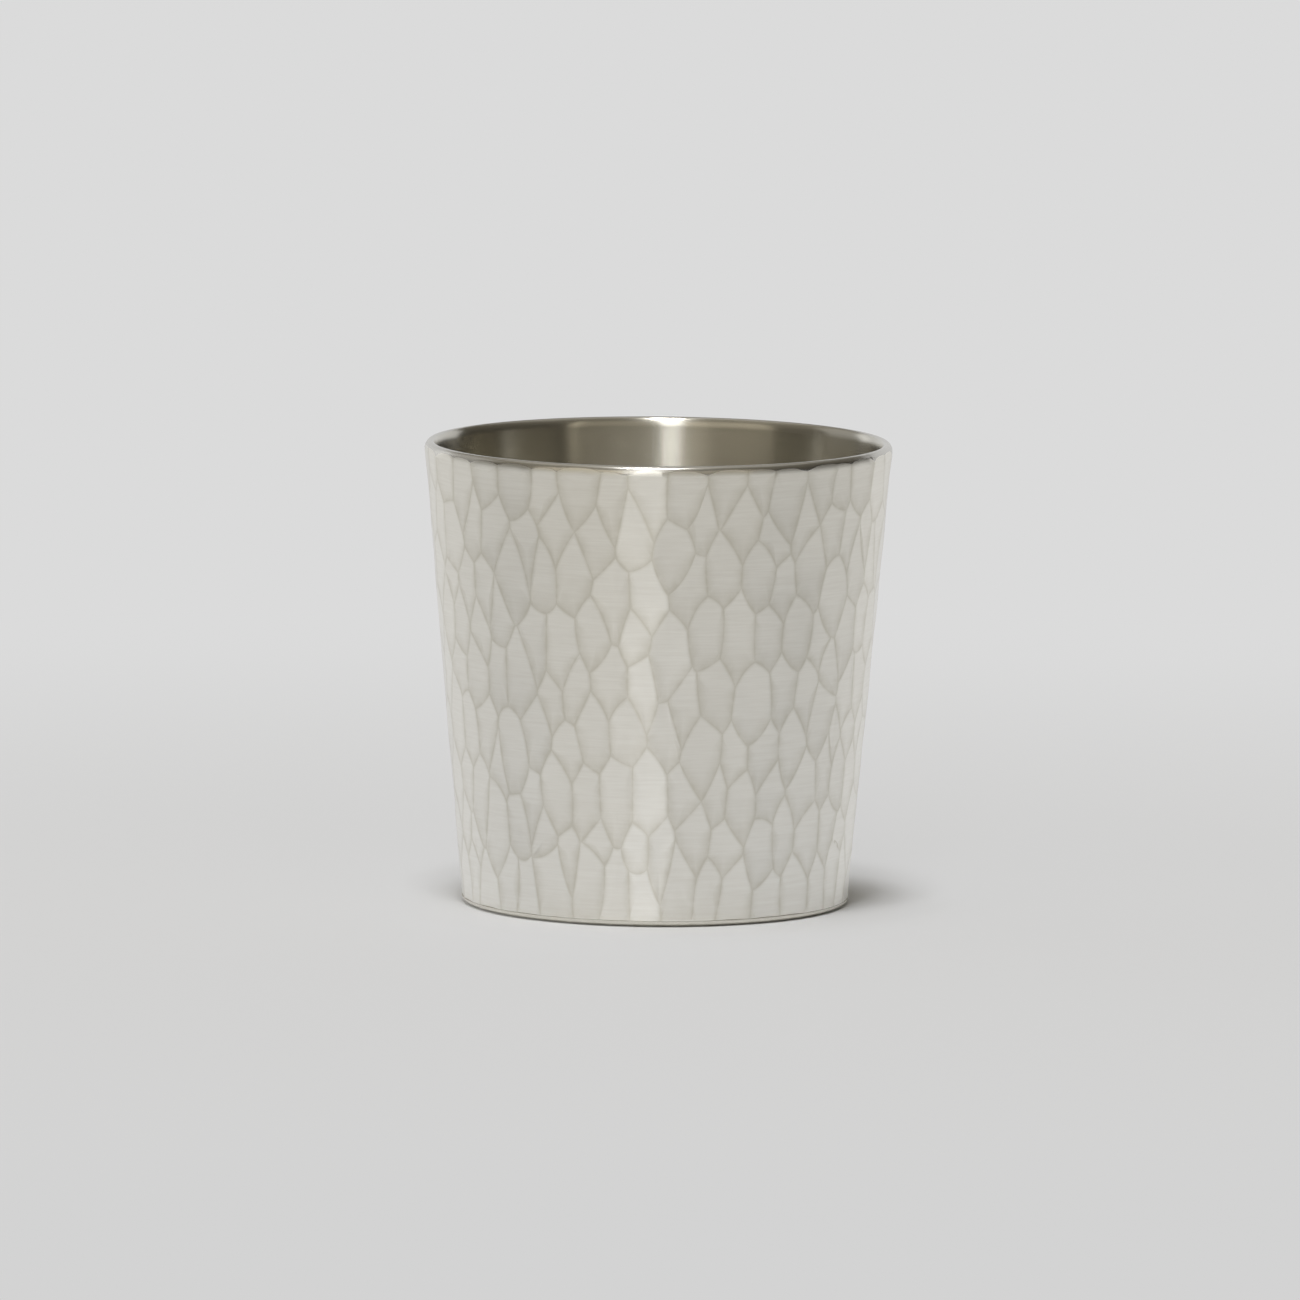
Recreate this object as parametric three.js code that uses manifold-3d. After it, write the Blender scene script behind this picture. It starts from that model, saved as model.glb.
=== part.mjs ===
// Hammered tin sake cup: a rolled and hammered wall, its upright seam, a base plate and the solder between.
// Millimetres, standing on z = 0 with +Z up; the seam is at the back, on +Y.
import * as THREE from 'three';
import { mergeVertices } from 'three/addons/utils/BufferGeometryUtils.js';
import Module from 'manifold-3d';

// Overall sizes
const cupHeight = 57.5; // table to the top of the lip
const rimDiameter = 58; // across the hammer ridges, just under the lip
const footDiameter = 48; // across the hammer ridges, at the base plate
const wallThickness = 1.5; // from the ridges to the smooth inside, measured level

// Lip: one quarter ellipse outside and one inside, meeting at the top
const lipOuterWidth = 0.75;
const lipOuterHeight = 1.1;
const lipInnerHeight = 1.4;
const lipSteps = 3; // straight steps in each quarter

// Hammer dents, struck in staggered rows and overlapping
const dentPitch = 4.27; // from one dent to the next in a row, halfway up the wall
const dentRowHeight = 6.35; // from one row to the next
const dentElongation = 2.1; // a dent's length over its width, if it had no neighbours
const dentDepth = 0.13; // from the ridges' cone to the bottom of a mean dent
const dentReach = 0.6; // distance at which a mean dent runs out to the cone, in pitches
const lipCut = 0.25; // share of the top row that the lip has cut away
const edgeRoom = 0.15; // least distance from a dent's middle to the lip or the foot, in rows
const sidewaysScatter = 0.25; // in pitches
const upwardScatter = 0.42; // in rows
const weightScatter = 0.1; // how much dents differ in strength, in square pitches
const ridgeBow = 0.1; // how far a ridge bows into the dent that was struck first, as a share of its length
const shortRidge = 0.04; // ridges shorter than this become a point, in pitches
const nearLimit = 2.4; // dents farther apart than this never touch, in pitches

// Upright seam of the rolled wall
const seamWidth = 1.4;

// Base plate, hollow underneath so that it stands on its outer ring
const plateThickness = 0.75;
const plateEdgeWidth = 1.3; // how far the rounded edge runs in under the plate
const plateEdgeHeight = 0.6; // how far it runs up the side
const plateEdgeSteps = 5;
const standingRingWidth = 4;
const hollowSlopeWidth = 3;
const hollowDepth = 0.4;

// Solder under the wall and in the corner inside
const solderFilm = 0.05;
const solderSetback = 0.05; // the film stops a little inside the ridges, which leaves a hairline
const filletLeg = 1.1;
const filletClearance = 0.06; // between the fillet and the inside of the wall
const filletSteps = 4;

const turnSteps = 80; // straight steps round the plate and the solder
const innerRows = 3; // rows of faces down the inside of the wall

// Derived sizes
const wallFoot = plateThickness + solderFilm;
const wallHeight = cupHeight - wallFoot;
const hammeredHeight = wallHeight - lipOuterHeight;
const rimRadius = rimDiameter / 2;
const footRadius = footDiameter / 2;
const apexRadius = rimRadius - lipOuterWidth;
const perRow = Math.round((Math.PI * (rimRadius + footRadius)) / dentPitch);
const rows = Math.round(hammeredHeight / dentRowHeight + lipCut);
const rowHeight = hammeredHeight / (rows - lipCut);
const dentLength = (dentElongation * Math.PI * (rimRadius + footRadius)) / perRow;
const wallUp = hammeredHeight / dentLength;

function coneRadius(height) {
  return footRadius + ((rimRadius - footRadius) * height) / hammeredHeight;
}

function innerRadius(height) {
  return coneRadius(height) - wallThickness;
}

function mix(from, to, share) {
  return from + (to - from) * share;
}

// A repeatable random number from 0 to 1 for one dent
function chance(column, row, salt) {
  const wave = Math.sin(column * 12.9898 + row * 78.233 + salt * 37.719) * 43758.5453;
  return wave - Math.floor(wave);
}

function spread(column, row, salt) {
  return 2 * chance(column, row, salt) - 1;
}

// Dents scattered round their places: across in pitches round the cup, up in dent lengths
const dents = [];
for (let column = 0; column < perRow; column += 1) {
  for (let row = 0; row < rows; row += 1) {
    const level = row + 0.5 + upwardScatter * spread(column, row, 13);
    const inside = Math.min(Math.max(level, edgeRoom), rows - lipCut - edgeRoom);
    dents.push({
      across: column + 0.5 * (row % 2) + sidewaysScatter * spread(column, row, 12),
      up: (inside * rowHeight) / dentLength,
      weight: weightScatter * spread(column, row, 14),
      order: chance(column, row, 16),
    });
  }
}

// The lip and the foot end the pattern; they are named by numbers that no dent has
const footLine = { id: -1, up: 0 };
const lipLine = { id: -2, up: wallUp };

function wrap(step) {
  return step - perRow * Math.round(step / perRow);
}

// The dents round one dent, as steps from it
function nearDents(index) {
  const own = dents[index];
  const near = [];
  dents.forEach((dent, other) => {
    const across = wrap(dent.across - own.across);
    const up = dent.up - own.up;
    const far = across ** 2 + up ** 2;
    const weight = dent.weight - own.weight;
    if (other !== index && far < nearLimit ** 2) {
      near.push({ other, across, up, weight, half: (far + weight) / 2 });
    }
  });
  return near;
}

// Ridge corners of one dent, in order round it: points as deep in two neighbours as in the dent itself,
// and in no other dent deeper. On the lip and the foot one neighbour is enough.
function findCorners(index) {
  const own = dents[index];
  const near = nearDents(index);
  const found = [];
  const keep = (across, up, others) => {
    const far = across ** 2 + up ** 2;
    const onWall = own.up + up > -1e-9 && own.up + up < wallUp + 1e-9;
    const power = (dent) => (across - dent.across) ** 2 + (up - dent.up) ** 2 + dent.weight;
    const free = near.every((dent) => power(dent) > far - 1e-9);
    if (onWall && free) {
      const key = [index, ...others].sort((a, b) => a - b).join(' ');
      found.push({ across, up, others, key });
    }
  };
  near.forEach((first, i) => {
    for (const second of near.slice(i + 1)) {
      const area = first.across * second.up - first.up * second.across;
      if (Math.abs(area) > 1e-9) {
        const across = (first.half * second.up - second.half * first.up) / area;
        const up = (first.across * second.half - second.across * first.half) / area;
        keep(across, up, [first.other, second.other]);
      }
    }
    for (const line of [footLine, lipLine]) {
      const up = line.up - own.up;
      if (Math.abs(first.across) > 1e-9) {
        keep((first.half - first.up * up) / first.across, up, [first.other, line.id]);
      }
    }
  });
  return found.sort((a, b) => Math.atan2(a.up, a.across) - Math.atan2(b.up, b.across));
}

const cells = dents.map((dent, index) => findCorners(index));
const corners = new Map();
const joined = new Map();

function cornerRoot(key) {
  return joined.has(key) ? cornerRoot(joined.get(key)) : key;
}

function sideEnds(cell, side) {
  return [cell[side], cell[(side + 1) % cell.length]];
}

// Every corner once, and corners at the two ends of a very short ridge made one
cells.forEach((cell, index) => {
  const own = dents[index];
  for (const corner of cell) {
    const line = Math.min(...corner.others, 0);
    const power = corner.across ** 2 + corner.up ** 2 + own.weight;
    if (!corners.has(corner.key)) {
      corners.set(corner.key, { across: own.across + corner.across, up: own.up + corner.up, power, line });
    }
  }
});
cells.forEach((cell) => {
  cell.forEach((corner, side) => {
    const [from, to] = sideEnds(cell, side).map((end) => cornerRoot(end.key));
    const first = corners.get(from);
    const second = corners.get(to);
    const across = wrap(second.across - first.across);
    const up = second.up - first.up;
    if (from !== to && first.line === second.line && Math.hypot(across, up) < shortRidge) {
      first.across += across / 2;
      first.up += up / 2;
      first.power = (first.power + second.power) / 2;
      joined.set(to, from);
    }
  });
});

// How far the face lies from the ridges' cone where a dent has this power
function hollow(power) {
  return Math.min(0, dentDepth * (power / dentReach ** 2 - 1));
}

function facePoint(across, up, power) {
  return { turn: (across * 2 * Math.PI) / perRow, height: up * dentLength, offset: hollow(power) };
}

function powerAt(index, across, up) {
  const dent = dents[index];
  return wrap(across - dent.across) ** 2 + (up - dent.up) ** 2 + dent.weight;
}

// The middle of the ridge between two dents, bowed into the one that was struck first
function ridgeMiddle(first, second, index, other) {
  const across = wrap(second.across - first.across);
  const up = second.up - first.up;
  const bow = other < 0 ? 0 : ridgeBow * (dents[index].order - dents[other].order);
  const middle = { across: first.across + across / 2 + bow * up, up: first.up + up / 2 - bow * across };
  const own = powerAt(index, middle.across, middle.up);
  const power = other < 0 ? own : (own + powerAt(other, middle.across, middle.up)) / 2;
  return facePoint(middle.across, middle.up, power);
}

// Angle on the outer quarter of the lip at which it meets the hammered face
function lipStart(offset) {
  return Math.acos((lipOuterWidth + offset) / lipOuterWidth);
}

const vertices = [];
const triangles = [];
const placed = new Map();

function addVertex(turn, radius, height) {
  vertices.push(radius * Math.cos(turn), radius * Math.sin(turn), height);
  return vertices.length / 3 - 1;
}

// A vertex of the hammered face; those on its top edge rise to where the lip cuts the face
function faceVertex(key, point) {
  if (!placed.has(key)) {
    const atLip = point.height > hammeredHeight - 1e-6;
    const rise = atLip ? lipOuterHeight * Math.sin(lipStart(point.offset)) : 0;
    const radius = coneRadius(point.height) + point.offset;
    const index = addVertex(point.turn, radius, point.height + rise);
    placed.set(key, { ...point, index });
  }
  return placed.get(key).index;
}

// One dent: a shallow dish, deepest in the middle, that rises with the square of the distance to its ridges
function addDent(index) {
  const own = dents[index];
  const cell = cells[index];
  const middle = facePoint(own.across, own.up, own.weight);
  const hub = faceVertex(`dent ${index}`, middle);
  const end = (key) => {
    const corner = corners.get(key);
    const point = facePoint(corner.across, corner.up, corner.power);
    const spoke = {
      turn: middle.turn + (wrap(corner.across - own.across) * Math.PI) / perRow,
      height: mix(middle.height, point.height, 0.5),
      offset: mix(middle.offset, point.offset, 0.25),
    };
    return { corner, vertex: faceVertex(key, point), spoke: faceVertex(`${index} to ${key}`, spoke) };
  };
  cell.forEach((corner, side) => {
    const [first, second] = sideEnds(cell, side);
    const [from, to] = [cornerRoot(first.key), cornerRoot(second.key)];
    if (from === to) {
      return;
    }
    const other = first.others.find((id) => second.others.includes(id));
    const start = end(from);
    const stop = end(to);
    const ridgeKey = `${Math.min(index, other)} by ${Math.max(index, other)}`;
    const ridge = faceVertex(ridgeKey, ridgeMiddle(start.corner, stop.corner, index, other));
    triangles.push(hub, start.spoke, stop.spoke);
    triangles.push(start.spoke, start.vertex, ridge);
    triangles.push(start.spoke, ridge, stop.spoke);
    triangles.push(stop.spoke, ridge, stop.vertex);
  });
}

function wholeTurn(turn) {
  return turn - 2 * Math.PI * Math.floor(turn / (2 * Math.PI));
}

// The vertices along the top or the bottom edge of the hammered face, once round
function faceEdge(height) {
  const edge = [...placed.values()].filter((point) => Math.abs(point.height - height) < 1e-6);
  const ring = edge.map((point) => ({ ...point, turn: wholeTurn(point.turn) }));
  return ring.sort((a, b) => a.turn - b.turn);
}

function turnAt(ring, i) {
  return ring[i % ring.length].turn + 2 * Math.PI * Math.floor(i / ring.length);
}

// A band of faces between two rings, each in order of turn; they may differ in number
function stitch(lower, upper) {
  let i = 0;
  let j = 0;
  while (i < lower.length || j < upper.length) {
    const lowerVertex = lower[i % lower.length].index;
    const upperVertex = upper[j % upper.length].index;
    const stepLower = i < lower.length && turnAt(lower, i + 1) <= turnAt(upper, j + 1);
    if (stepLower || j === upper.length) {
      i += 1;
      triangles.push(lowerVertex, lower[i % lower.length].index, upperVertex);
    } else {
      j += 1;
      triangles.push(lowerVertex, upper[j % upper.length].index, upperVertex);
    }
  }
}

// The whole wall as one closed ring: hammered outside, lip, smooth inside and flat foot
function buildWallRing() {
  dents.forEach((dent, index) => addDent(index));
  const top = faceEdge(hammeredHeight);
  const bottom = faceEdge(0);
  const share = (2 * Math.PI) / top.length;
  const shift = top.reduce((sum, point, i) => sum + point.turn - share * i, 0) / top.length;
  const evenTurn = (i) => shift + share * i;
  const ringVertex = (turn, radius, height) => ({ turn, index: addVertex(turn, radius, height) });
  const shoulder = wallHeight - lipInnerHeight;
  const lipInnerWidth = apexRadius - innerRadius(shoulder);
  let ring = top;
  for (let step = 1; step <= 2 * lipSteps; step += 1) {
    const next = top.map((point, i) => {
      const turn = mix(point.turn, evenTurn(i), step / (2 * lipSteps));
      if (step <= lipSteps) {
        const angle = mix(lipStart(point.offset), Math.PI / 2, step / lipSteps);
        const radius = apexRadius + lipOuterWidth * Math.cos(angle);
        return ringVertex(turn, radius, hammeredHeight + lipOuterHeight * Math.sin(angle));
      }
      const angle = ((step - lipSteps) / lipSteps) * (Math.PI / 2);
      const radius = apexRadius - lipInnerWidth * Math.sin(angle);
      return ringVertex(turn, radius, shoulder + lipInnerHeight * Math.cos(angle));
    });
    stitch(ring, next);
    ring = next;
  }
  for (let row = 1; row <= innerRows; row += 1) {
    const height = shoulder * (1 - row / innerRows);
    const next = top.map((point, i) => ringVertex(evenTurn(i), innerRadius(height), height));
    stitch(ring, next);
    ring = next;
  }
  stitch(ring, bottom);
}

const wasm = await Module();
wasm.setup();

function toSolid(positions, indices) {
  const vertProperties = new Float32Array(positions);
  const triVerts = new Uint32Array(indices);
  return new wasm.Manifold(new wasm.Mesh({ numProp: 3, vertProperties, triVerts }));
}

function geometryToSolid(geometry) {
  geometry.deleteAttribute('normal');
  geometry.deleteAttribute('uv');
  const merged = mergeVertices(geometry);
  return toSolid(merged.attributes.position.array, merged.index.array);
}

function solidToGeometry(solid) {
  const mesh = solid.getMesh();
  const geometry = new THREE.BufferGeometry();
  geometry.setAttribute('position', new THREE.BufferAttribute(new Float32Array(mesh.vertProperties), 3));
  geometry.setIndex(new THREE.BufferAttribute(new Uint32Array(mesh.triVerts), 1));
  geometry.computeVertexNormals();
  return geometry;
}

function lathe(profile) {
  const points = profile.map(([radius, height]) => new THREE.Vector2(radius, height));
  return new THREE.LatheGeometry(points, turnSteps).rotateX(Math.PI / 2);
}

// The plate's edge: a quarter ellipse from the table up to the side
function plateEdge() {
  const points = [];
  for (let i = 0; i <= plateEdgeSteps; i += 1) {
    const angle = -Math.PI / 2 + ((Math.PI / 2) * i) / plateEdgeSteps;
    const radius = footRadius - plateEdgeWidth * (1 - Math.cos(angle));
    points.push([radius, plateEdgeHeight * (1 + Math.sin(angle))]);
  }
  return points;
}

function buildPlate() {
  const ringInner = footRadius - standingRingWidth;
  const hollowRadius = ringInner - hollowSlopeWidth;
  return lathe([
    [0, hollowDepth],
    [hollowRadius, hollowDepth],
    [ringInner, 0],
    ...plateEdge(),
    [footRadius, plateThickness],
    [ringInner, plateThickness],
    [hollowRadius, plateThickness + hollowDepth],
    [0, plateThickness + hollowDepth],
  ]);
}

// Solder: a film under the wall, and a hollow fillet in the corner that keeps clear of the wall's slope
function buildSolder() {
  const wallInside = (height) => innerRadius(height) - filletClearance;
  const toe = wallInside(0) - filletLeg;
  const outside = footRadius - solderSetback;
  const fillet = [];
  for (let i = 0; i <= filletSteps; i += 1) {
    const angle = ((Math.PI / 2) * i) / filletSteps;
    const radius = mix(toe, wallInside(filletLeg), Math.cos(angle));
    fillet.push([radius, solderFilm + filletLeg * (1 - Math.sin(angle))]);
  }
  return lathe([
    [toe, 0],
    [outside, 0],
    [outside, solderFilm],
    [wallInside(0), solderFilm],
    ...fillet,
    [toe, 0],
  ]);
}

const materials = {
  hammered: new THREE.MeshStandardMaterial({ color: '#d3cfc5', roughness: 0.36, metalness: 1 }),
  seam: new THREE.MeshStandardMaterial({ color: '#c9c5bb', roughness: 0.42, metalness: 1 }),
  plate: new THREE.MeshStandardMaterial({ color: '#cdc9bf', roughness: 0.3, metalness: 1 }),
  solder: new THREE.MeshStandardMaterial({ color: '#aeaaa1', roughness: 0.48, metalness: 1 }),
};

const cup = new THREE.Group();
cup.name = 'sake_cup';

function addPiece(name, geometry, material, height) {
  const piece = new THREE.Mesh(geometry, material);
  piece.name = name;
  piece.position.z = height;
  cup.add(piece);
}

buildWallRing();
const wallRing = toSolid(vertices, triangles);
const slab = new THREE.BoxGeometry(seamWidth, rimDiameter, 2 * wallHeight);
const seamSlab = geometryToSolid(slab.translate(0, rimRadius, wallHeight / 2));

addPiece('hammered_wall', solidToGeometry(wallRing.subtract(seamSlab)), materials.hammered, wallFoot);
addPiece('side_seam', solidToGeometry(wallRing.intersect(seamSlab)), materials.seam, wallFoot);
addPiece('base_solder', buildSolder(), materials.solder, plateThickness);
addPiece('base_plate', buildPlate(), materials.plate, 0);

export default cup;
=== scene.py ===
"""Looks of a hammered tin sake cup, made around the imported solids: metres, +Z up, the viewer on -Y."""

import math

import bmesh
import bpy
import numpy as np
from mathutils import Matrix, Vector


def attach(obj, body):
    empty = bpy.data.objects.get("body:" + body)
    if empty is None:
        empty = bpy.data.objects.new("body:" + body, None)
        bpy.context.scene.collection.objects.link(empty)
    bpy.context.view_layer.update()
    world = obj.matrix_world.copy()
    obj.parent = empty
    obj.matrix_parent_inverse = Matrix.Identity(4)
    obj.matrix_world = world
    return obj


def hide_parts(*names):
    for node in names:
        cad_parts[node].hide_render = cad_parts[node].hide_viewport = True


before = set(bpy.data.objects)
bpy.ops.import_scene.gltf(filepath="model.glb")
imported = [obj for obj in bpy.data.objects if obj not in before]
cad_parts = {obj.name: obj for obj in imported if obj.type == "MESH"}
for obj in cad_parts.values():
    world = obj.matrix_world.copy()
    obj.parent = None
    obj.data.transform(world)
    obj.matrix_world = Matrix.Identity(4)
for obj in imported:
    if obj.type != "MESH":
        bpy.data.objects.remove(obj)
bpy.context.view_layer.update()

# Sizes of the cup in metres, the same as in the part's source
MM = 0.001
CUP_HEIGHT = 57.5 * MM
RIM_RADIUS = 29.0 * MM
FOOT_RADIUS = 24.0 * MM
WALL_THICKNESS = 1.5 * MM
LIP_OUTER_WIDTH = 0.75 * MM
LIP_OUTER_HEIGHT = 1.1 * MM
LIP_INNER_HEIGHT = 1.4 * MM
PLATE_THICKNESS = 0.75 * MM
PLATE_EDGE_WIDTH = 1.3 * MM
PLATE_EDGE_HEIGHT = 0.6 * MM
STANDING_RING_WIDTH = 4.0 * MM
HOLLOW_SLOPE_WIDTH = 3.0 * MM
HOLLOW_DEPTH = 0.4 * MM
SOLDER_FILM = 0.05 * MM
FILLET_LEG = 1.1 * MM
FILLET_CLEARANCE = 0.06 * MM
SEAM_WIDTH = 1.4 * MM

# Hammer dents, the same as in the part's source
DENT_PITCH = 4.27 * MM
DENT_ROW_HEIGHT = 6.35 * MM
DENT_ELONGATION = 2.1
DENT_DEPTH = 0.13 * MM
DENT_REACH = 0.6  # distance at which a mean dent runs out to the cone, in pitches
LIP_CUT = 0.25  # share of the top row that the lip has cut away
EDGE_ROOM = 0.15  # least distance from a dent's middle to the lip or the foot, in rows
SIDEWAYS_SCATTER = 0.25  # in pitches
UPWARD_SCATTER = 0.42  # in rows
WEIGHT_SCATTER = 0.1  # how much dents differ in strength, in square pitches
RIDGE_BOW = 0.1  # how far a ridge bows into the dent that was struck first, as a share of its length
SHORT_RIDGE = 0.04  # ridges shorter than this become a point, in pitches

# Hammer dents, for the looks alone
NEAR_COUNT = 24  # neighbours that may share a corner with a dent
RIDGE_HALF_WIDTH = 0.5 * MM  # a ridge is rounded over this far on each side
SHOULDER_RANGE = (0.45, 0.97)  # where that rounding may start, from a dent's middle, 0, to the ridge, 1
RIDGE_SHADE_WIDTH = 1.1 * MM  # a ridge is painted darker, as shade, over this far on each side
RIDGE_SHADE_LEAN = 0.6  # how much that width differs between the two sides of a ridge
LEAN_BY_HEIGHT = 4.0  # how much narrower it is in the lower dent
LEAN_BY_ORDER = 0.5  # how much narrower it is in the later dent
LOW_END = 0.55  # how far below its middle a dent's painted shade is darkest, in dent lengths
LOW_END_SHADE = 0.65  # how dark the painted shade is there, as a share of a ridge's

# Joints and solder, for the looks alone: filed nearly flush, with a fillet that was fed by hand
SOLDER_SETBACK = 0.004 * MM
SEAM_GAP = 0.004 * MM
SWELL_DEPTH = 0.07 * MM
FILLET_SWELL = 0.6
TOE_SWELL = 0.4
TOE_START = 1.4  # angle on the fillet, in radians

# Steps and limits of the meshes
SIDE_STEPS = 6
FLAT_RINGS = np.array([0.0, 0.55, 1.0])[:, None]
CREST_RINGS = np.array([0.25, 0.5, 0.75, 1.0])[:, None]
LIP_OUTER_RINGS = 8
LIP_INNER_RINGS = 11
RUBBED_RINGS = 3
INSIDE_RINGS = 9
PROFILE_POINTS = 13
FILLET_POINTS = 11
LATHE_STEPS = 256
BEND_POINTS = 24
CREASE_ANGLE = math.radians(50)
MERGE_DISTANCE = 4e-6  # in metres
FLAT_EDGE = 1e-7  # in metres
CUT_TOLERANCE = 1e-8  # in metres
SAME_TURN = 1e-7  # in radians
TINY = 1e-9  # for rounding errors

# Sizes that follow from these
WALL_FOOT = PLATE_THICKNESS + SOLDER_FILM
WALL_HEIGHT = CUP_HEIGHT - WALL_FOOT
HAMMERED_HEIGHT = WALL_HEIGHT - LIP_OUTER_HEIGHT
LIP_SHOULDER = WALL_HEIGHT - LIP_INNER_HEIGHT
APEX_RADIUS = RIM_RADIUS - LIP_OUTER_WIDTH
PER_ROW = round(math.pi * (RIM_RADIUS + FOOT_RADIUS) / DENT_PITCH)
ROWS = round(HAMMERED_HEIGHT / DENT_ROW_HEIGHT + LIP_CUT)
ROW_HEIGHT = HAMMERED_HEIGHT / (ROWS - LIP_CUT)
DENT_LENGTH = DENT_ELONGATION * math.pi * (RIM_RADIUS + FOOT_RADIUS) / PER_ROW
WALL_UP = HAMMERED_HEIGHT / DENT_LENGTH
PITCH_ANGLE = 2 * math.pi / PER_ROW

# The lip and the foot end the pattern; they are named by numbers that no dent has
FOOT_LINE, LIP_LINE = -1, -2

# Faces of the wall, by finish
HAMMERED, RUBBED, TURNED = 0, 1, 2


def cone_radius(height):
    """Radius of the ridges, growing evenly from the foot to the lip."""
    return FOOT_RADIUS + (RIM_RADIUS - FOOT_RADIUS) * height / HAMMERED_HEIGHT


def inner_radius(height):
    return cone_radius(height) - WALL_THICKNESS


def chance(column, row, salt):
    """A repeatable random number from 0 to 1 for one dent: the fraction of a large sine."""
    wave = np.sin(column * 12.9898 + row * 78.233 + salt * 37.719) * 43758.5453
    return wave - np.floor(wave)


def spread(column, row, salt):
    return 2 * chance(column, row, salt) - 1


def wrap(step):
    """The shorter way round for a step along a row, in pitches."""
    return step - PER_ROW * np.round(step / PER_ROW)


class Dents:
    """Middles of the dents, scattered round staggered rows: across in pitches, up in dent lengths. Weight
    says how strongly each was struck, and order which of two neighbours was struck first."""

    def __init__(self):
        column, row = np.divmod(np.arange(PER_ROW * ROWS), ROWS)
        level = row + 0.5 + UPWARD_SCATTER * spread(column, row, 13)
        level = np.clip(level, EDGE_ROOM, ROWS - LIP_CUT - EDGE_ROOM)
        across = column + 0.5 * (row % 2) + SIDEWAYS_SCATTER * spread(column, row, 12)
        self.middle = np.stack([across, level * ROW_HEIGHT / DENT_LENGTH], -1)
        self.weight = WEIGHT_SCATTER * spread(column, row, 14)
        self.order = chance(column, row, 16)

    def steps(self, start, end):
        """Steps from some places to others, the shorter way round."""
        step = end - start
        step[..., 0] = wrap(step[..., 0])
        return step

    def power(self, index, place):
        """Square of the distance from a dent's middle, less for a dent that was struck harder."""
        return np.sum(self.steps(self.middle[index], place) ** 2, -1) + self.weight[index]


def find_corners(dents):
    """Ridge corners of every dent: points where the dent and two neighbours are equally deep and no dent is
    deeper; on the lip and the foot one neighbour is enough. Returns the dent, the step from its middle, and
    the two neighbours of each corner."""
    step = dents.steps(dents.middle[:, None], dents.middle[None])
    near = np.argsort(np.sum(step**2, -1), axis=1)[:, 1:NEAR_COUNT + 1]
    step = np.take_along_axis(step, near[..., None], 1)
    weight = dents.weight[near] - dents.weight[:, None]
    half = (np.sum(step**2, -1) + weight) / 2
    first, second = np.triu_indices(NEAR_COUNT, 1)
    area = step[:, first, 0] * step[:, second, 1] - step[:, first, 1] * step[:, second, 0]
    area = np.where(np.abs(area) < TINY, np.nan, area)
    across = (half[:, first] * step[:, second, 1] - half[:, second] * step[:, first, 1]) / area
    up = (step[:, first, 0] * half[:, second] - step[:, second, 0] * half[:, first]) / area
    places = [np.stack([across, up], -1)]
    others = [np.stack([near[:, first], near[:, second]], -1)]
    for line, height in ((FOOT_LINE, 0.0), (LIP_LINE, WALL_UP)):
        up = height - dents.middle[:, 1:2] + 0 * half
        across = (half - step[..., 1] * up) / np.where(np.abs(step[..., 0]) < TINY, np.nan, step[..., 0])
        places.append(np.stack([across, up], -1))
        others.append(np.stack([near, np.full_like(near, line)], -1))
    places = np.concatenate(places, 1)
    others = np.concatenate(others, 1)
    own = np.sum(places**2, -1)
    rival = np.sum((places[:, :, None] - step[:, None]) ** 2, -1) + weight[:, None]
    height = places[..., 1] + dents.middle[:, 1:2]
    good = np.all(rival > own[..., None] - TINY, axis=-1) & (height > -TINY) & (height < WALL_UP + TINY)
    dent, place = np.nonzero(good)
    return dent, places[dent, place], others[dent, place]


def next_in_dent(dent):
    """For sides sorted by dent, the one that follows each of them round the same dent."""
    start = np.searchsorted(dent, dent)
    count = np.bincount(dent)[dent]
    return start + (np.arange(len(dent)) - start + 1) % count


def find_sides(dents):
    """Sides of every dent, in order round it: the dent, the one across, the two ends and their power."""
    dent, place, others = find_corners(dents)
    order = np.lexsort((np.arctan2(place[:, 1], place[:, 0]), dent))
    dent, place, others = dent[order], place[order], others[order]
    after = next_in_dent(dent)
    shared = np.any(others[after] == others[:, :1], axis=1)
    across = np.where(shared, others[:, 0], others[:, 1])
    names = np.sort(np.column_stack([dent, others]), axis=1)
    _, first, corner = np.unique(names, axis=0, return_index=True, return_inverse=True)
    corner = corner.ravel()
    where = dents.middle[dent[first]] + place[first]
    power = dents.power(dent[first], where)
    line = np.minimum(names[first, 0], 0)
    # Corners at the two ends of a very short ridge become one; four rounds do for a chain of such ridges
    length = np.linalg.norm(place[after] - place, axis=-1)
    short = (length < SHORT_RIDGE) & (line[corner] == line[corner[after]])
    group = np.arange(len(where))
    for _ in range(4):
        low = np.minimum(group[corner[short]], group[corner[after][short]])
        np.minimum.at(group, corner[short], low)
        np.minimum.at(group, corner[after][short], low)
    members = np.bincount(group, minlength=len(group))
    away = dents.steps(where[group], where)
    shift = np.stack([np.bincount(group, away[:, axis], len(group)) for axis in (0, 1)], -1)
    where = where + shift / np.maximum(members, 1)[:, None]
    power = np.bincount(group, power, len(group)) / np.maximum(members, 1)
    start = group[corner]
    end = start[after]
    kept = start != end
    dent, across, start, end = dent[kept], across[kept], start[kept], end[kept]
    return dent, across, where[start], where[end], power[start], power[end]


def hollow(power):
    """How far the face lies from the ridges' cone: each dent is a bowl that rises with its power."""
    return np.minimum(0, DENT_DEPTH * (power / DENT_REACH**2 - 1))


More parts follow.
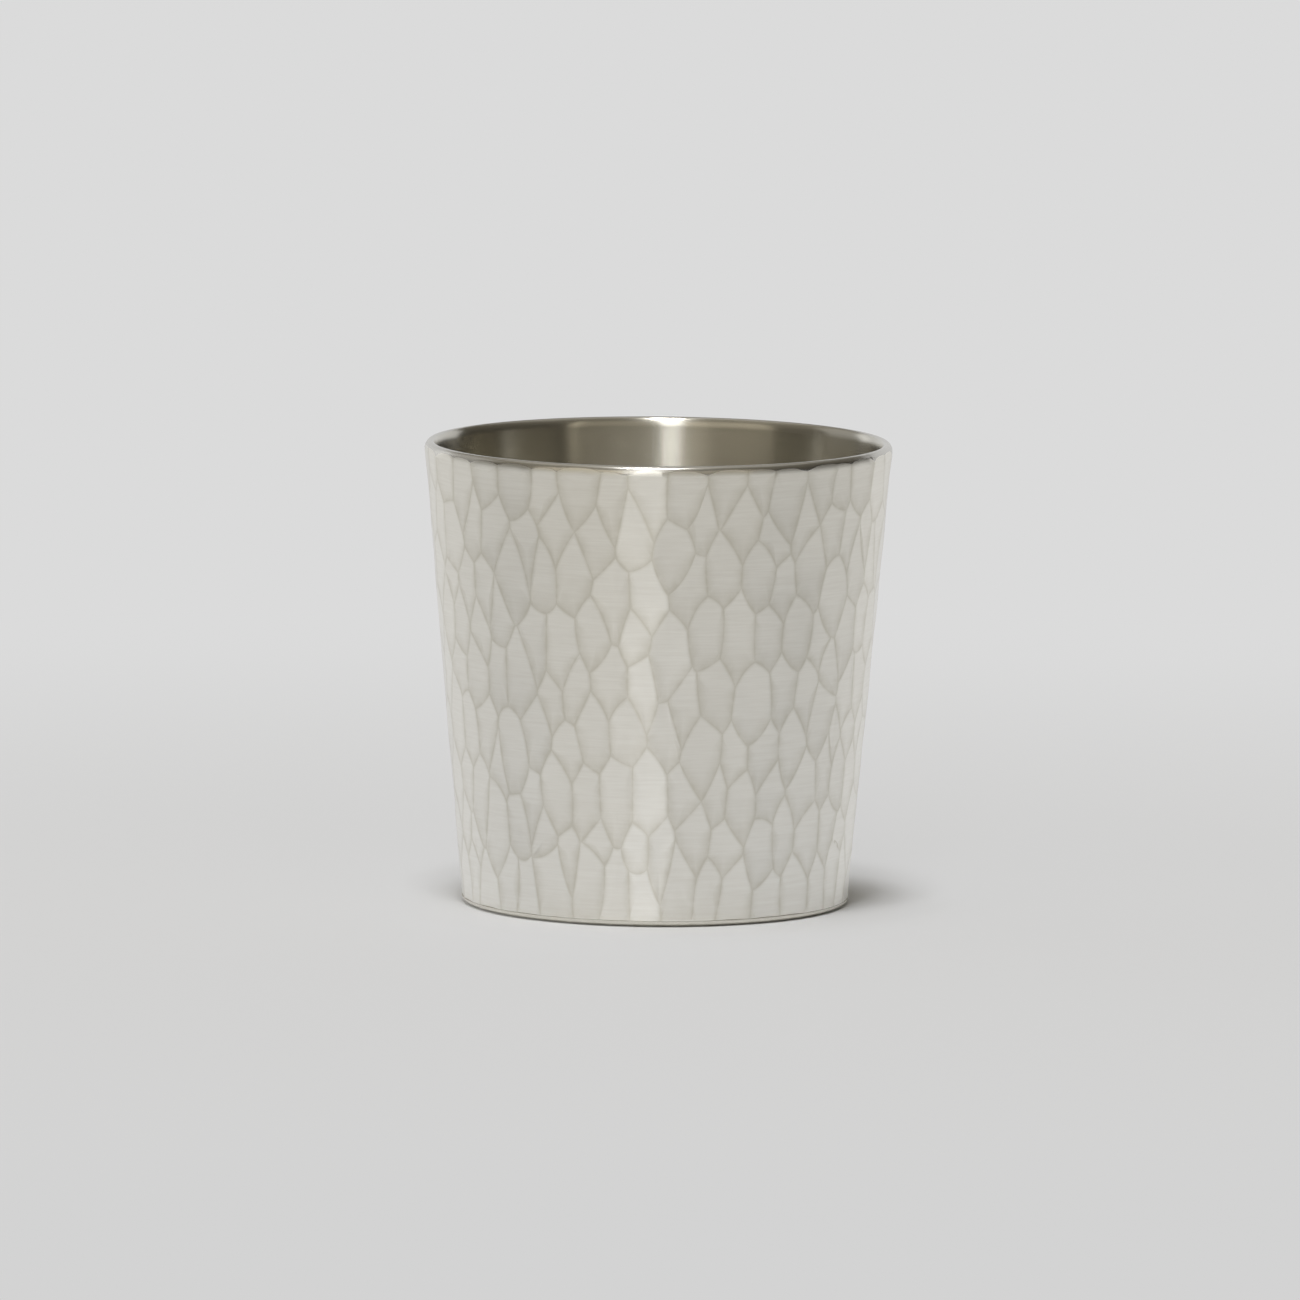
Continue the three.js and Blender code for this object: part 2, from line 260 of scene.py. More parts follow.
def ridge_distance(middle, start, end):
    """Distance in metres from a dent's middle to the straight line of each of its sides."""
    pitch = PITCH_ANGLE * cone_radius(middle[:, 1] * DENT_LENGTH)
    scale = np.stack([pitch, np.full(len(middle), DENT_LENGTH)], -1)
    edge = (end - start) * scale
    reach = start * scale
    return np.abs(edge[:, 0] * reach[:, 1] - edge[:, 1] * reach[:, 0]) / np.linalg.norm(edge, axis=-1)


def along_sides(values, dent, points):
    """A value for each side, repeated along it; at a corner, the mean of the two sides that meet."""
    after = next_in_dent(dent)
    before = np.empty_like(after)
    before[after] = np.arange(len(after))
    repeated = np.repeat(values[:, None], points, 1)
    repeated[:, 0] = (values + values[before]) / 2
    repeated[:, -1] = (values + values[after]) / 2
    return repeated


def ridge_shading(dents, dent, across, apart, out):
    """How close a point is to a ridge, from 0 to 1, over a band on each side of it, as painted shade. A
    dent that lies lower or was struck later ends crisply at the ridge, and the one beside it rolls up to it
    softly."""
    inside = across >= 0
    points = out.shape[-1]
    higher = np.where(inside, dents.middle[across, 1] - dents.middle[dent, 1], 0)
    later = np.where(inside, dents.order[dent] - dents.order[across], 0)
    lean = np.clip(LEAN_BY_HEIGHT * higher + LEAN_BY_ORDER * later, -1, 1)
    width = along_sides(RIDGE_SHADE_WIDTH * (1 - RIDGE_SHADE_LEAN * lean), dent, points)
    # Along the lip and the foot there is no ridge, apart from the corners
    ridged = np.repeat(inside[:, None].astype(float), points, 1)
    ridged[:, [0, -1]] = 1
    return np.clip(1 - (1 - out) * apart[:, None, None] / width[:, None], 0, 1) * ridged[:, None]


def dent_grid():
    """Dents as dishes, one wedge for each side. A wedge runs from the dent's middle out to the bowed ridge;
    along each spoke the height grows with the square of the distance, and rounds over to level at the
    ridge. Returns turn, height, offset from the cone and closeness to a ridge, which is painted shade, by
    side, ring and rim point."""
    dents = Dents()
    dent, across, start, end, start_power, end_power = find_sides(dents)
    inside = across >= 0
    middle = dents.middle[dent]
    start = dents.steps(middle, start)
    end = dents.steps(middle, end)
    along = np.linspace(0, 1, SIDE_STEPS + 1)
    bulge = 4 * along * (1 - along)
    bow = RIDGE_BOW * np.where(inside, dents.order[dent] - dents.order[across], 0)
    outward = np.stack([end[:, 1] - start[:, 1], start[:, 0] - end[:, 0]], -1) * bow[:, None]
    rim = start[:, None] + (end - start)[:, None] * along[:, None] + outward[:, None] * bulge[:, None]
    place = middle[:, None] + rim
    own = dents.power(dent[:, None], place)
    other = np.where(inside[:, None], dents.power(across[:, None], place), own)
    power = (own + other) / 2
    # The ends take the power of their corners, which all the dents there share
    at_start = (start_power - power[:, 0])[:, None] * (1 - along)
    at_end = (end_power - power[:, -1])[:, None] * along
    rim_offset = hollow(power + at_start + at_end)[:, None]
    middle_offset = hollow(dents.weight[dent])[:, None, None]
    # Rings lie on the bowl as far as the shoulder, and then on the rounded crest
    apart = ridge_distance(middle, start, end)
    shoulder = np.clip(1 - RIDGE_HALF_WIDTH / apart, *SHOULDER_RANGE)
    shoulder = along_sides(shoulder, dent, SIDE_STEPS + 1)[:, None]
    out = np.concatenate([FLAT_RINGS * shoulder, shoulder + CREST_RINGS * (1 - shoulder)], 1)
    past = np.clip(out - shoulder, 0, None)
    rise = np.minimum(out, shoulder) ** 2 + 2 * shoulder * (past - past**2 / (2 * (1 - shoulder)))
    rise = rise / shoulder
    places = middle[:, None, None] + out[..., None] * rim[:, None]
    offset = middle_offset + rise * (rim_offset - middle_offset)
    # Closeness to a ridge becomes painted shade on the hammered face
    ridge = ridge_shading(dents, dent, across, apart, out)
    # The lower end of a dent takes a little painted shade, most at its tip
    low = np.clip(-out * rim[:, None, :, 1] / LOW_END, 0, 1)
    ridge = np.maximum(ridge, LOW_END_SHADE * low**1.5)
    return places[..., 0] * PITCH_ANGLE, places[..., 1] * DENT_LENGTH, offset, ridge


def lip_start(offset):
    """Angle on the lip's outer quarter at which it meets a face that lies this far from the ridges."""
    return np.arccos((LIP_OUTER_WIDTH + offset) / LIP_OUTER_WIDTH)


def ring_points(turn, radius, height):
    turn, radius, height = np.broadcast_arrays(turn, radius, height)
    return np.stack([radius * np.cos(turn), radius * np.sin(turn), height], -1)


def face_points(turn, height, offset):
    """Points of the hammered face; its top edge rises to where the lip cuts it."""
    at_lip = height > HAMMERED_HEIGHT - TINY
    rise = np.where(at_lip, LIP_OUTER_HEIGHT * np.sin(lip_start(np.minimum(offset, 0))), 0)
    return ring_points(turn, cone_radius(height) + offset, WALL_FOOT + height + rise)


def face_edge(points, height):
    """The hammered face's points at its top or bottom edge, once round and in order."""
    edge = points[np.abs(points[:, 1] - height) < TINY]
    edge[:, 0] %= 2 * math.pi
    edge = edge[np.argsort(edge[:, 0])]
    fresh = np.diff(edge[:, 0], prepend=edge[-1, 0] - 2 * math.pi) > SAME_TURN
    return edge[fresh]


def lip_rings(top, even):
    """The lip as two quarters of ellipses, ring by ring: the outer one rises from the hammered face's top
    edge to the highest ring, and the inner one falls from there to the straight inside."""
    share = np.linspace(0, 1, LIP_OUTER_RINGS)[:, None]
    angle = lip_start(np.minimum(top[:, 2], 0))
    angle = angle + (math.pi / 2 - angle) * share
    turn = top[:, 0] + (even - top[:, 0]) * share
    outer = ring_points(turn, APEX_RADIUS + LIP_OUTER_WIDTH * np.cos(angle),
                        WALL_FOOT + HAMMERED_HEIGHT + LIP_OUTER_HEIGHT * np.sin(angle))
    angle = np.linspace(0, math.pi / 2, LIP_INNER_RINGS)[:, None]
    width = APEX_RADIUS - inner_radius(LIP_SHOULDER)
    inner = ring_points(even, APEX_RADIUS - width * np.sin(angle),
                        WALL_FOOT + LIP_SHOULDER + LIP_INNER_HEIGHT * np.cos(angle))
    return outer, inner


def grid_triangles(rows, columns, closed):
    """Two triangles for each cell of a grid; closed joins the last column to the first."""
    cells = columns if closed else columns - 1
    row, column = np.meshgrid(np.arange(rows - 1), np.arange(cells), indexing="ij")
    after = (column + 1) % columns
    a = row * columns + column
    b = row * columns + after
    c = (row + 1) * columns + after
    d = (row + 1) * columns + column
    return np.stack([a, b, c, a, c, d], -1).reshape(-1, 3)


def stitch_triangles(lower, upper):
    """Triangles between two rings given by their turns, numbered one after the other: whichever ring has
    the nearer next point takes the next step."""
    lower_next = np.append(lower[1:], lower[0] + 2 * math.pi)
    upper_next = np.append(upper[1:], upper[0] + 2 * math.pi)
    i = np.arange(len(lower))
    j = np.arange(len(upper))
    upper_reached = np.searchsorted(upper_next, lower_next, side="left") % len(upper)
    lower_reached = np.searchsorted(lower_next, upper_next, side="right") % len(lower)
    first = np.stack([i, (i + 1) % len(lower), len(lower) + upper_reached], -1)
    second = np.stack([lower_reached, len(lower) + (j + 1) % len(upper), len(lower) + j], -1)
    return np.concatenate([first, second])


class Shell:
    """Collects the vertices, triangles, finishes and ridge values, the painted shade, of one piece."""

    def __init__(self):
        self.points = []
        self.triangles = []
        self.finishes = []
        self.ridges = []
        self.count = 0

    def add(self, points, triangles, finish, ridges=None):
        points = points.reshape(-1, 3)
        self.points.append(points)
        self.triangles.append(triangles + self.count)
        self.finishes.append(np.full(len(triangles), finish))
        self.ridges.append(np.zeros(len(points)) if ridges is None else ridges.reshape(-1))
        self.count += len(points)


def wall_shell():
    """The wall as one closed ring: hammered face, lip, smooth inside and flat foot."""
    shell = Shell()
    turn, height, offset, ridge = dent_grid()
    sides, rings, around = turn.shape
    # Rings run outwards, so a cell's corners are taken from the rim
    cells = grid_triangles(rings, around, False)[:, ::-1]
    cells = (np.arange(sides)[:, None, None] * rings * around + cells).reshape(-1, 3)
    shell.add(face_points(turn, height, offset), cells, HAMMERED, ridge)
    edges = np.stack([turn[:, -1].ravel(), height[:, -1].ravel(), offset[:, -1].ravel()], -1)
    top = face_edge(edges, HAMMERED_HEIGHT)
    bottom = face_edge(edges, 0.0)
    count = len(top)
    even = np.arange(count) * 2 * math.pi / count
    even = even + np.mean(top[:, 0] - even)
    outer, inner = lip_rings(top, even)
    # The lip was rubbed a little way over its top
    lip = np.concatenate([outer, inner[1:RUBBED_RINGS + 1]])
    shell.add(lip, grid_triangles(len(lip), count, True), RUBBED)
    down = np.linspace(LIP_SHOULDER, 0, INSIDE_RINGS)[1:, None]
    straight = ring_points(even, inner_radius(down), WALL_FOOT + down)
    inside = np.concatenate([inner[RUBBED_RINGS:], straight])
    shell.add(inside, grid_triangles(len(inside), count, True), TURNED)
    foot = face_points(bottom[:, 0], bottom[:, 1], bottom[:, 2])
    shell.add(np.concatenate([inside[-1], foot]), stitch_triangles(even, bottom[:, 0]), TURNED)
    return shell


def lathe_shell(profile, swell=None):
    """A closed profile of radius and height carried once round the axis; swell moves its points in or out
    with the turn, each by the share that is its third number."""
    shell = Shell()
    turn = np.arange(LATHE_STEPS) * 2 * math.pi / LATHE_STEPS
    radius = profile[:, 0:1]
    if swell is not None:
        radius = radius + swell(turn) * profile[:, 2:3]
    points = ring_points(turn, radius, profile[:, 1:2])
    shell.add(points, grid_triangles(len(profile), LATHE_STEPS, True), 0)
    return shell


def plate_profile():
    """From the middle of the hollow underside out over the standing ring, up the rounded edge and back."""
    hollow_radius = FOOT_RADIUS - STANDING_RING_WIDTH - HOLLOW_SLOPE_WIDTH
    slope = np.linspace(0, 1, PROFILE_POINTS)
    ease = slope * slope * (3 - 2 * slope)
    under = np.stack([hollow_radius + HOLLOW_SLOPE_WIDTH * slope, HOLLOW_DEPTH * (1 - ease)], -1)
    angle = np.linspace(-math.pi / 2, 0, PROFILE_POINTS)
    edge = np.stack([FOOT_RADIUS - PLATE_EDGE_WIDTH * (1 - np.cos(angle)),
                     PLATE_EDGE_HEIGHT * (1 + np.sin(angle))], -1)
    middle = np.array([[0, HOLLOW_DEPTH], [hollow_radius / 2, HOLLOW_DEPTH]])
    top = np.array([[FOOT_RADIUS, PLATE_THICKNESS]])
    lift = np.array([0, PLATE_THICKNESS])
    return np.concatenate([middle, under, edge, top, under[::-1] + lift, middle[::-1] + lift])


def solder_profile():
    """A film under the wall and a hollow fillet in the corner, which is a quarter of an ellipse; the third
    number of a point is how much of the swell it takes."""
    inside = inner_radius(0.0) - FILLET_CLEARANCE
    crown = inner_radius(FILLET_LEG) - FILLET_CLEARANCE
    toe = inside - FILLET_LEG
    outside = FOOT_RADIUS - SOLDER_SETBACK
    angle = np.linspace(0, math.pi / 2, FILLET_POINTS)
    fillet = np.stack([toe + (crown - toe) * np.cos(angle),
                       SOLDER_FILM + FILLET_LEG * (1 - np.sin(angle)),
                       FILLET_SWELL * np.sin(2 * angle) + TOE_SWELL * (angle > TOE_START)], -1)
    film = np.array([[toe, 0, TOE_SWELL],
                     [outside, 0, 0],
                     [outside, SOLDER_FILM, 0],
                     [inside, SOLDER_FILM, 0]])
    profile = np.concatenate([film, fillet, film[:1]])
    profile[:, 1] += PLATE_THICKNESS
    return profile


def solder_swell(turn):
    """Three waves round the cup, which never reach out past the fillet's plain shape."""
    count, strength, start = np.array([[5, 1.0, 0.6], [11, 0.7, 2.1], [23, 0.5, 4.0]]).T
    waves = strength @ np.sin(np.outer(count, turn) + start[:, None])
    return -SWELL_DEPTH * (1 + waves / strength.sum())


def fill_mesh(name, shell):
    """A mesh with its doubled vertices merged and its collapsed triangles left out."""
    points = np.concatenate(shell.points)
    triangles = np.concatenate(shell.triangles)
    mesh = bpy.data.meshes.new(name)
    mesh.vertices.add(len(points))
    mesh.vertices.foreach_set("co", points.astype(np.float32).ravel())
    mesh.loops.add(3 * len(triangles))
    mesh.loops.foreach_set("vertex_index", triangles.astype(np.int32).ravel())
    mesh.polygons.add(len(triangles))
    mesh.polygons.foreach_set("loop_start", np.arange(0, 3 * len(triangles), 3, dtype=np.int32))
    mesh.polygons.foreach_set("material_index", np.concatenate(shell.finishes).astype(np.int32))
    # The ridge values are painted shade, read by the hammered tin's colour
    ridge = mesh.attributes.new("ridge", "FLOAT", "POINT")
    ridge.data.foreach_set("value", np.concatenate(shell.ridges).astype(np.float32))
    mesh.update()
    merged = bmesh.new()
    merged.from_mesh(mesh)
    bmesh.ops.remove_doubles(merged, verts=merged.verts, dist=MERGE_DISTANCE)
    bmesh.ops.dissolve_degenerate(merged, dist=FLAT_EDGE, edges=merged.edges)
    bmesh.ops.triangulate(merged, faces=[face for face in merged.faces if len(face.verts) > 3])
    return mesh, merged


def at_the_seam(face, half_width):
    """Whether a face's middle is at the back of the cup and this close to the seam's middle plane."""
    middle = face.calc_center_median()
    return middle.y > 0 and abs(middle.x) < half_width


def cut_at_seam(ring, half_width, keep_seam):
    """The ring without its seam, or the seam alone: cut along two upright planes, with the cuts closed."""
    piece = ring.copy()
    for side in (-1, 1):
        near = [face for face in piece.faces if at_the_seam(face, 4 * half_width)]
        edges = dict.fromkeys(edge for face in near for edge in face.edges)
        corners = dict.fromkeys(corner for face in near for corner in face.verts)
        bmesh.ops.bisect_plane(piece, geom=[*near, *edges, *corners], dist=CUT_TOLERANCE,
                               plane_co=(side * half_width, 0, 0), plane_no=(1, 0, 0))
    drop = [face for face in piece.faces if at_the_seam(face, half_width) != keep_seam]
    bmesh.ops.delete(piece, geom=drop, context="FACES")
    open_edges = [edge for edge in piece.edges if edge.is_boundary]
    bmesh.ops.holes_fill(piece, edges=open_edges, sides=0)
    bmesh.ops.recalc_face_normals(piece, faces=piece.faces)
    bmesh.ops.triangulate(piece, faces=[face for face in piece.faces if len(face.verts) > 3])
    return piece


def add_piece(name, mesh, merged, node, materials):
    """Puts a finished mesh into the scene in place of its solid."""
    for face in merged.faces:
        face.smooth = True
    merged.to_mesh(mesh)
    merged.free()
    mesh.set_sharp_from_angle(angle=CREASE_ANGLE)
    for material in materials:
        mesh.materials.append(material)
    piece = bpy.data.objects.new(name, mesh)
    bpy.context.scene.collection.objects.link(piece)
    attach(piece, "root")
    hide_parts(node)


# Materials
def linear(code):
    """An sRGB hex colour as linear red, green, blue and alpha."""
    values = np.array([int(code[i:i + 2], 16) for i in (1, 3, 5)]) / 255
    values = np.where(values <= 0.04045, values / 12.92, ((values + 0.055) / 1.055) ** 2.4)
    return (*values, 1.0)


def add_node(tree, kind, settings=None, inputs=None):
    """Adds a node, sets its properties, and gives each named input a value or a link from an output."""
    node = tree.nodes.new(kind)
    for name, value in (settings or {}).items():
        setattr(node, name, value)
    for name, value in (inputs or {}).items():
        socket = node.inputs[name]
        if isinstance(value, bpy.types.NodeSocket):
            tree.links.new(value, socket)
        else:
            socket.default_value = value
    return node


def new_material(name):
    material = bpy.data.materials.new(name)
    material.use_nodes = True
    tree = material.node_tree
    tree.nodes.clear()
    return material, tree


def close_material(tree, shader):
    add_node(tree, "ShaderNodeOutputMaterial", inputs={"Surface": shader.outputs[0]})


def brushed_hammered_tin(name, low, high, shade_colour):
    """Tin, hammered and then rubbed level with an abrasive: warm white, satin, with fine level scratches
    that spread light up and down; the ridges and the lower ends of the dents are painted darker as shade."""
    material, tree = new_material(name)
    place = add_node(tree, "ShaderNodeTexCoord").outputs["Object"]
    # Scratches about 0.25 mm apart and several millimetres long, coarser than real so that they show
    stretch = add_node(tree, "ShaderNodeMapping", inputs={
        "Vector": place, "Scale": (0.16 / MM, 0.16 / MM, 3.6 / MM)})
    scratch = add_node(tree, "ShaderNodeTexNoise", inputs={
        "Vector": stretch.outputs[0], "Scale": 1.0, "Detail": 3.0, "Roughness": 0.65})
    # Broad, faint clouds about 8 mm across, where the rubbing was lighter
    cloud = add_node(tree, "ShaderNodeTexNoise", inputs={
        "Vector": place, "Scale": 0.12 / MM, "Detail": 2.0, "Roughness": 0.5})
    # Painted shade: a soft band on each side of a ridge, and a fine line along it
    ridge = add_node(tree, "ShaderNodeAttribute", {"attribute_name": "ridge"})
    soft = add_node(tree, "ShaderNodeMath", {"operation": "POWER"}, {0: ridge.outputs["Fac"], 1: 1.6})
    fine = add_node(tree, "ShaderNodeMath", {"operation": "POWER"}, {0: ridge.outputs["Fac"], 1: 9.0})
    soft = add_node(tree, "ShaderNodeMath", {"operation": "MULTIPLY"}, {0: soft.outputs[0], 1: 0.75})
    ridge_shade = add_node(tree, "ShaderNodeMath", {"operation": "MULTIPLY_ADD"}, {
        0: fine.outputs[0], 1: 0.4, 2: soft.outputs[0]})
    # Patches about 1.5 mm long along the ridges, where the painted shade is deeper or lighter
    patch = add_node(tree, "ShaderNodeTexNoise", inputs={
        "Vector": place, "Scale": 0.65 / MM, "Detail": 3.0, "Roughness": 0.6})
    shade_depth = add_node(tree, "ShaderNodeMapRange", inputs={
        "Value": patch.outputs["Fac"], "From Min": 0.3, "From Max": 0.7, "To Min": 0.55, "To Max": 1.25})
    ridge_shade = add_node(tree, "ShaderNodeMath", {"operation": "MULTIPLY", "use_clamp": True}, {
        0: ridge_shade.outputs[0], 1: shade_depth.outputs[0]})
    tone = add_node(tree, "ShaderNodeMapRange", inputs={
        "Value": scratch.outputs["Fac"], "From Min": 0.25, "From Max": 0.75, "To Min": 0.0, "To Max": 1.0})
    face = add_node(tree, "ShaderNodeMix", {"data_type": "RGBA"}, {
        "Factor": tone.outputs[0], "A": linear(low), "B": linear(high)})
    # Painted shade darkens the face towards the ridges and the dents' low ends
    face = add_node(tree, "ShaderNodeMix", {"data_type": "RGBA"}, {
        "Factor": ridge_shade.outputs[0], "A": face.outputs["Result"], "B": linear(shade_colour)})
    # The metal is a little darker towards the lip
    parts = add_node(tree, "ShaderNodeSeparateXYZ", inputs={0: place})
    towards_lip = add_node(tree, "ShaderNodeMapRange", inputs={
        "Value": parts.outputs["Z"], "From Min": 0.0, "From Max": CUP_HEIGHT, "To Min": 0.0, "To Max": 1.0})
    face = add_node(tree, "ShaderNodeMix", {"data_type": "RGBA", "blend_type": "MULTIPLY"}, {
        "Factor": towards_lip.outputs[0], "A": face.outputs["Result"], "B": linear("#F1EFEA")})
    rough = add_node(tree, "ShaderNodeMapRange", inputs={
        "Value": cloud.outputs["Fac"], "From Min": 0.3, "From Max": 0.7, "To Min": 0.28, "To Max": 0.33})
    bump = add_node(tree, "ShaderNodeBump", inputs={
        "Height": scratch.outputs["Fac"], "Strength": 0.12, "Distance": 0.02 * MM})
    around = add_node(tree, "ShaderNodeVectorMath", {"operation": "CROSS_PRODUCT"}, {
        0: (0, 0, 1), 1: place})
    shader = add_node(tree, "ShaderNodeBsdfPrincipled", inputs={
        "Base Color": face.outputs["Result"], "Metallic": 1.0, "Roughness": rough.outputs[0],
        "Anisotropic": 0.76, "Anisotropic Rotation": 0.25, "Tangent": around.outputs[0],
        "Normal": bump.outputs[0]})
    close_material(tree, shader)
    return material


def rubbed_tin_painted_darker():
    """Tin rubbed smooth with fine abrasive while it turned: a satin lip with hair-fine rings, painted
    darker than the wall as shade.
    """
    material, tree = new_material("lip_tin_rubbed_painted_darker")
    place = add_node(tree, "ShaderNodeTexCoord").outputs["Object"]
    # Rings about 0.17 mm apart that run on for many millimetres
    stretch = add_node(tree, "ShaderNodeMapping", inputs={
        "Vector": place, "Scale": (0.06 / MM, 0.06 / MM, 6.0 / MM)})
    ring = add_node(tree, "ShaderNodeTexNoise", inputs={
        "Vector": stretch.outputs[0], "Scale": 1.0, "Detail": 2.0, "Roughness": 0.6})
    rough = add_node(tree, "ShaderNodeMapRange", inputs={
        "Value": ring.outputs["Fac"], "From Min": 0.3, "From Max": 0.7, "To Min": 0.21, "To Max": 0.26})
    # A darker colour than the wall's: painted shade for the dim room that the lip reflects
    shader = add_node(tree, "ShaderNodeBsdfPrincipled", inputs={
        "Base Color": linear("#D6D4CE"), "Metallic": 1.0, "Roughness": rough.outputs[0]})
    close_material(tree, shader)
    return material


def turned_tin(name, colour, stretch_of_light):
    """Tin scraped smooth on a lathe: satin, with fine rings that draw highlights out along the axis."""
    material, tree = new_material(name)
    place = add_node(tree, "ShaderNodeTexCoord").outputs["Object"]
    # Rings about 0.2 mm apart that run about half of the way round
    stretch = add_node(tree, "ShaderNodeMapping", inputs={
        "Vector": place, "Scale": (0.012 / MM, 0.012 / MM, 5.0 / MM)})
    ring = add_node(tree, "ShaderNodeTexNoise", inputs={
        "Vector": stretch.outputs[0], "Scale": 1.0, "Detail": 3.0, "Roughness": 0.6})
    rough = add_node(tree, "ShaderNodeMapRange", inputs={
        "Value": ring.outputs["Fac"], "From Min": 0.3, "From Max": 0.7, "To Min": 0.24, "To Max": 0.27})
    tint = add_node(tree, "ShaderNodeMapRange", inputs={
        "Value": ring.outputs["Fac"], "From Min": 0.3, "From Max": 0.7, "To Min": 0.0, "To Max": 1.0})
    # The rings differ by four parts in a hundred
    dark = (*(0.96 * value for value in linear(colour)[:3]), 1.0)
    face = add_node(tree, "ShaderNodeMix", {"data_type": "RGBA"}, {
        "Factor": tint.outputs[0], "A": dark, "B": linear(colour)})
    bump = add_node(tree, "ShaderNodeBump", inputs={
        "Height": ring.outputs["Fac"], "Strength": 0.01, "Distance": 0.01 * MM})
    around = add_node(tree, "ShaderNodeVectorMath", {"operation": "CROSS_PRODUCT"}, {
        0: (0, 0, 1), 1: place})
    shader = add_node(tree, "ShaderNodeBsdfPrincipled", inputs={
        "Base Color": face.outputs["Result"], "Metallic": 1.0, "Roughness": rough.outputs[0],
        "Anisotropic": stretch_of_light, "Anisotropic Rotation": 0.25, "Tangent": around.outputs[0],
        "Normal": bump.outputs[0]})
    close_material(tree, shader)
    return material


def flowed_solder():
    """Tin solder left as it flowed: greyer and duller than worked tin, with a soft, uneven gloss."""
    material, tree = new_material("solder_tin_as_flowed")
    place = add_node(tree, "ShaderNodeTexCoord").outputs["Object"]
    # Patches about 0.8 mm across
    patch = add_node(tree, "ShaderNodeTexNoise", inputs={
        "Vector": place, "Scale": 1.25 / MM, "Detail": 4.0, "Roughness": 0.6})
    rough = add_node(tree, "ShaderNodeMapRange", inputs={
        "Value": patch.outputs["Fac"], "From Min": 0.3, "From Max": 0.7, "To Min": 0.35, "To Max": 0.55})
    bump = add_node(tree, "ShaderNodeBump", inputs={
        "Height": patch.outputs["Fac"], "Strength": 0.2, "Distance": 0.03 * MM})
    shader = add_node(tree, "ShaderNodeBsdfPrincipled", inputs={
        "Base Color": linear("#BDB9B0"), "Metallic": 1.0, "Roughness": rough.outputs[0],
        "Normal": bump.outputs[0]})
    close_material(tree, shader)
    return material


# The cup
# The third colour of each is the painted shade of the ridges and the dents' low ends
hammered = brushed_hammered_tin("hammered_tin_brushed_level", "#F5F3ED", "#FEFDF8", "#E2DFD5")
seam_tin = brushed_hammered_tin("seam_tin_hammered_over", "#ECEAE3", "#F6F4EE", "#DAD7CD")
rubbed = rubbed_tin_painted_darker()
# The inside is painted darker and warmer than the outside: painted shade in the cup's hollow
inside_tin_painted_shade = turned_tin("inside_tin_turned_painted_shade", "#D3D0C6", 0.9)
plate_tin = turned_tin("base_tin_turned", "#E4E1D8", 0.3)
solder_tin = flowed_solder()

wall_mesh, wall_ring = fill_mesh("tin_wall", wall_shell())
seam_mesh = bpy.data.meshes.new("tin_seam")
wall_cut = cut_at_seam(wall_ring, SEAM_WIDTH / 2, False)
seam_cut = cut_at_seam(wall_ring, SEAM_WIDTH / 2 - SEAM_GAP, True)
wall_ring.free()
add_piece("tin_wall", wall_mesh, wall_cut, "hammered_wall", [hammered, rubbed, inside_tin_painted_shade])
add_piece("tin_seam", seam_mesh, seam_cut, "side_seam", [seam_tin, rubbed, inside_tin_painted_shade])
plate_mesh, plate_ring = fill_mesh("base_disc", lathe_shell(plate_profile()))
add_piece("base_disc", plate_mesh, plate_ring, "base_plate", [plate_tin])
solder_mesh, solder_ring = fill_mesh("solder_ring", lathe_shell(solder_profile(), solder_swell))
add_piece("solder_ring", solder_mesh, solder_ring, "base_solder", [solder_tin])

# Floor and backdrop, in metres
PAPER_HALF_WIDTH = 4.0
PAPER_BACK = 2.8
PAPER_CURVE = 0.6
PAPER_TOP = 2.0
SHADOW_MIDDLE = (0.003, 0, 0)  # a little to the right of the cup, so that the painted light lifts the shadow less on the right
SHADOW_START = 0.0225
SHADOW_END = 0.036
PAINTED_SHADOW_FILL = 0.6  # share of the glowing even tone, painted light, that lifts the shadow where it ends
EVEN_START = 0.04
EVEN_END = 0.3
GRADED_DEPTH = 0.25  # the even tone grows paler from this far in front of the cup to this far behind

# Panels that stand in front of the cup, in metres
PANEL_DISTANCE = 2.6
PANEL_LOW = 0.2
PANEL_HIGH = 2.2
PANEL_COLOUR = "#FFF5DF"

# Camera: its image is square, and the scale is that at its distance from the cup
CAMERA_DISTANCE = 2.0
CAMERA_ELEVATION = math.radians(7.93)
CAMERA_ROLL = 0.00868
CAMERA_AIM = Vector((-0.86 * MM, 0, 31.4 * MM))
SENSOR_WIDTH = 36
IMAGE_WIDTH = 1300
PIXELS_PER_METRE = 8041


def make_sweep():
    """Paper, flat under the cup, that curves up into a backdrop: straight, quarter circle, straight."""
    angle = np.linspace(0, math.pi / 2, BEND_POINTS)
    bend = np.stack([PAPER_BACK + PAPER_CURVE * np.sin(angle), PAPER_CURVE * (1 - np.cos(angle))], -1)
    front = [[-PAPER_HALF_WIDTH, 0.0]]
    profile = np.concatenate([front, bend, [[PAPER_BACK + PAPER_CURVE, PAPER_TOP]]])
    across = np.array([-PAPER_HALF_WIDTH, PAPER_HALF_WIDTH])
    points = np.stack([np.tile(across, len(profile)), *np.repeat(profile, 2, 0).T], -1)
    row = 2 * np.arange(len(profile) - 1)[:, None]
    mesh = bpy.data.meshes.new("paper_sweep")
    mesh.from_pydata(points.tolist(), [], (row + [0, 1, 3, 2]).tolist())
    sweep = bpy.data.objects.new("paper_sweep", mesh)
    bpy.context.scene.collection.objects.link(sweep)
    mesh.materials.append(pale_paper())


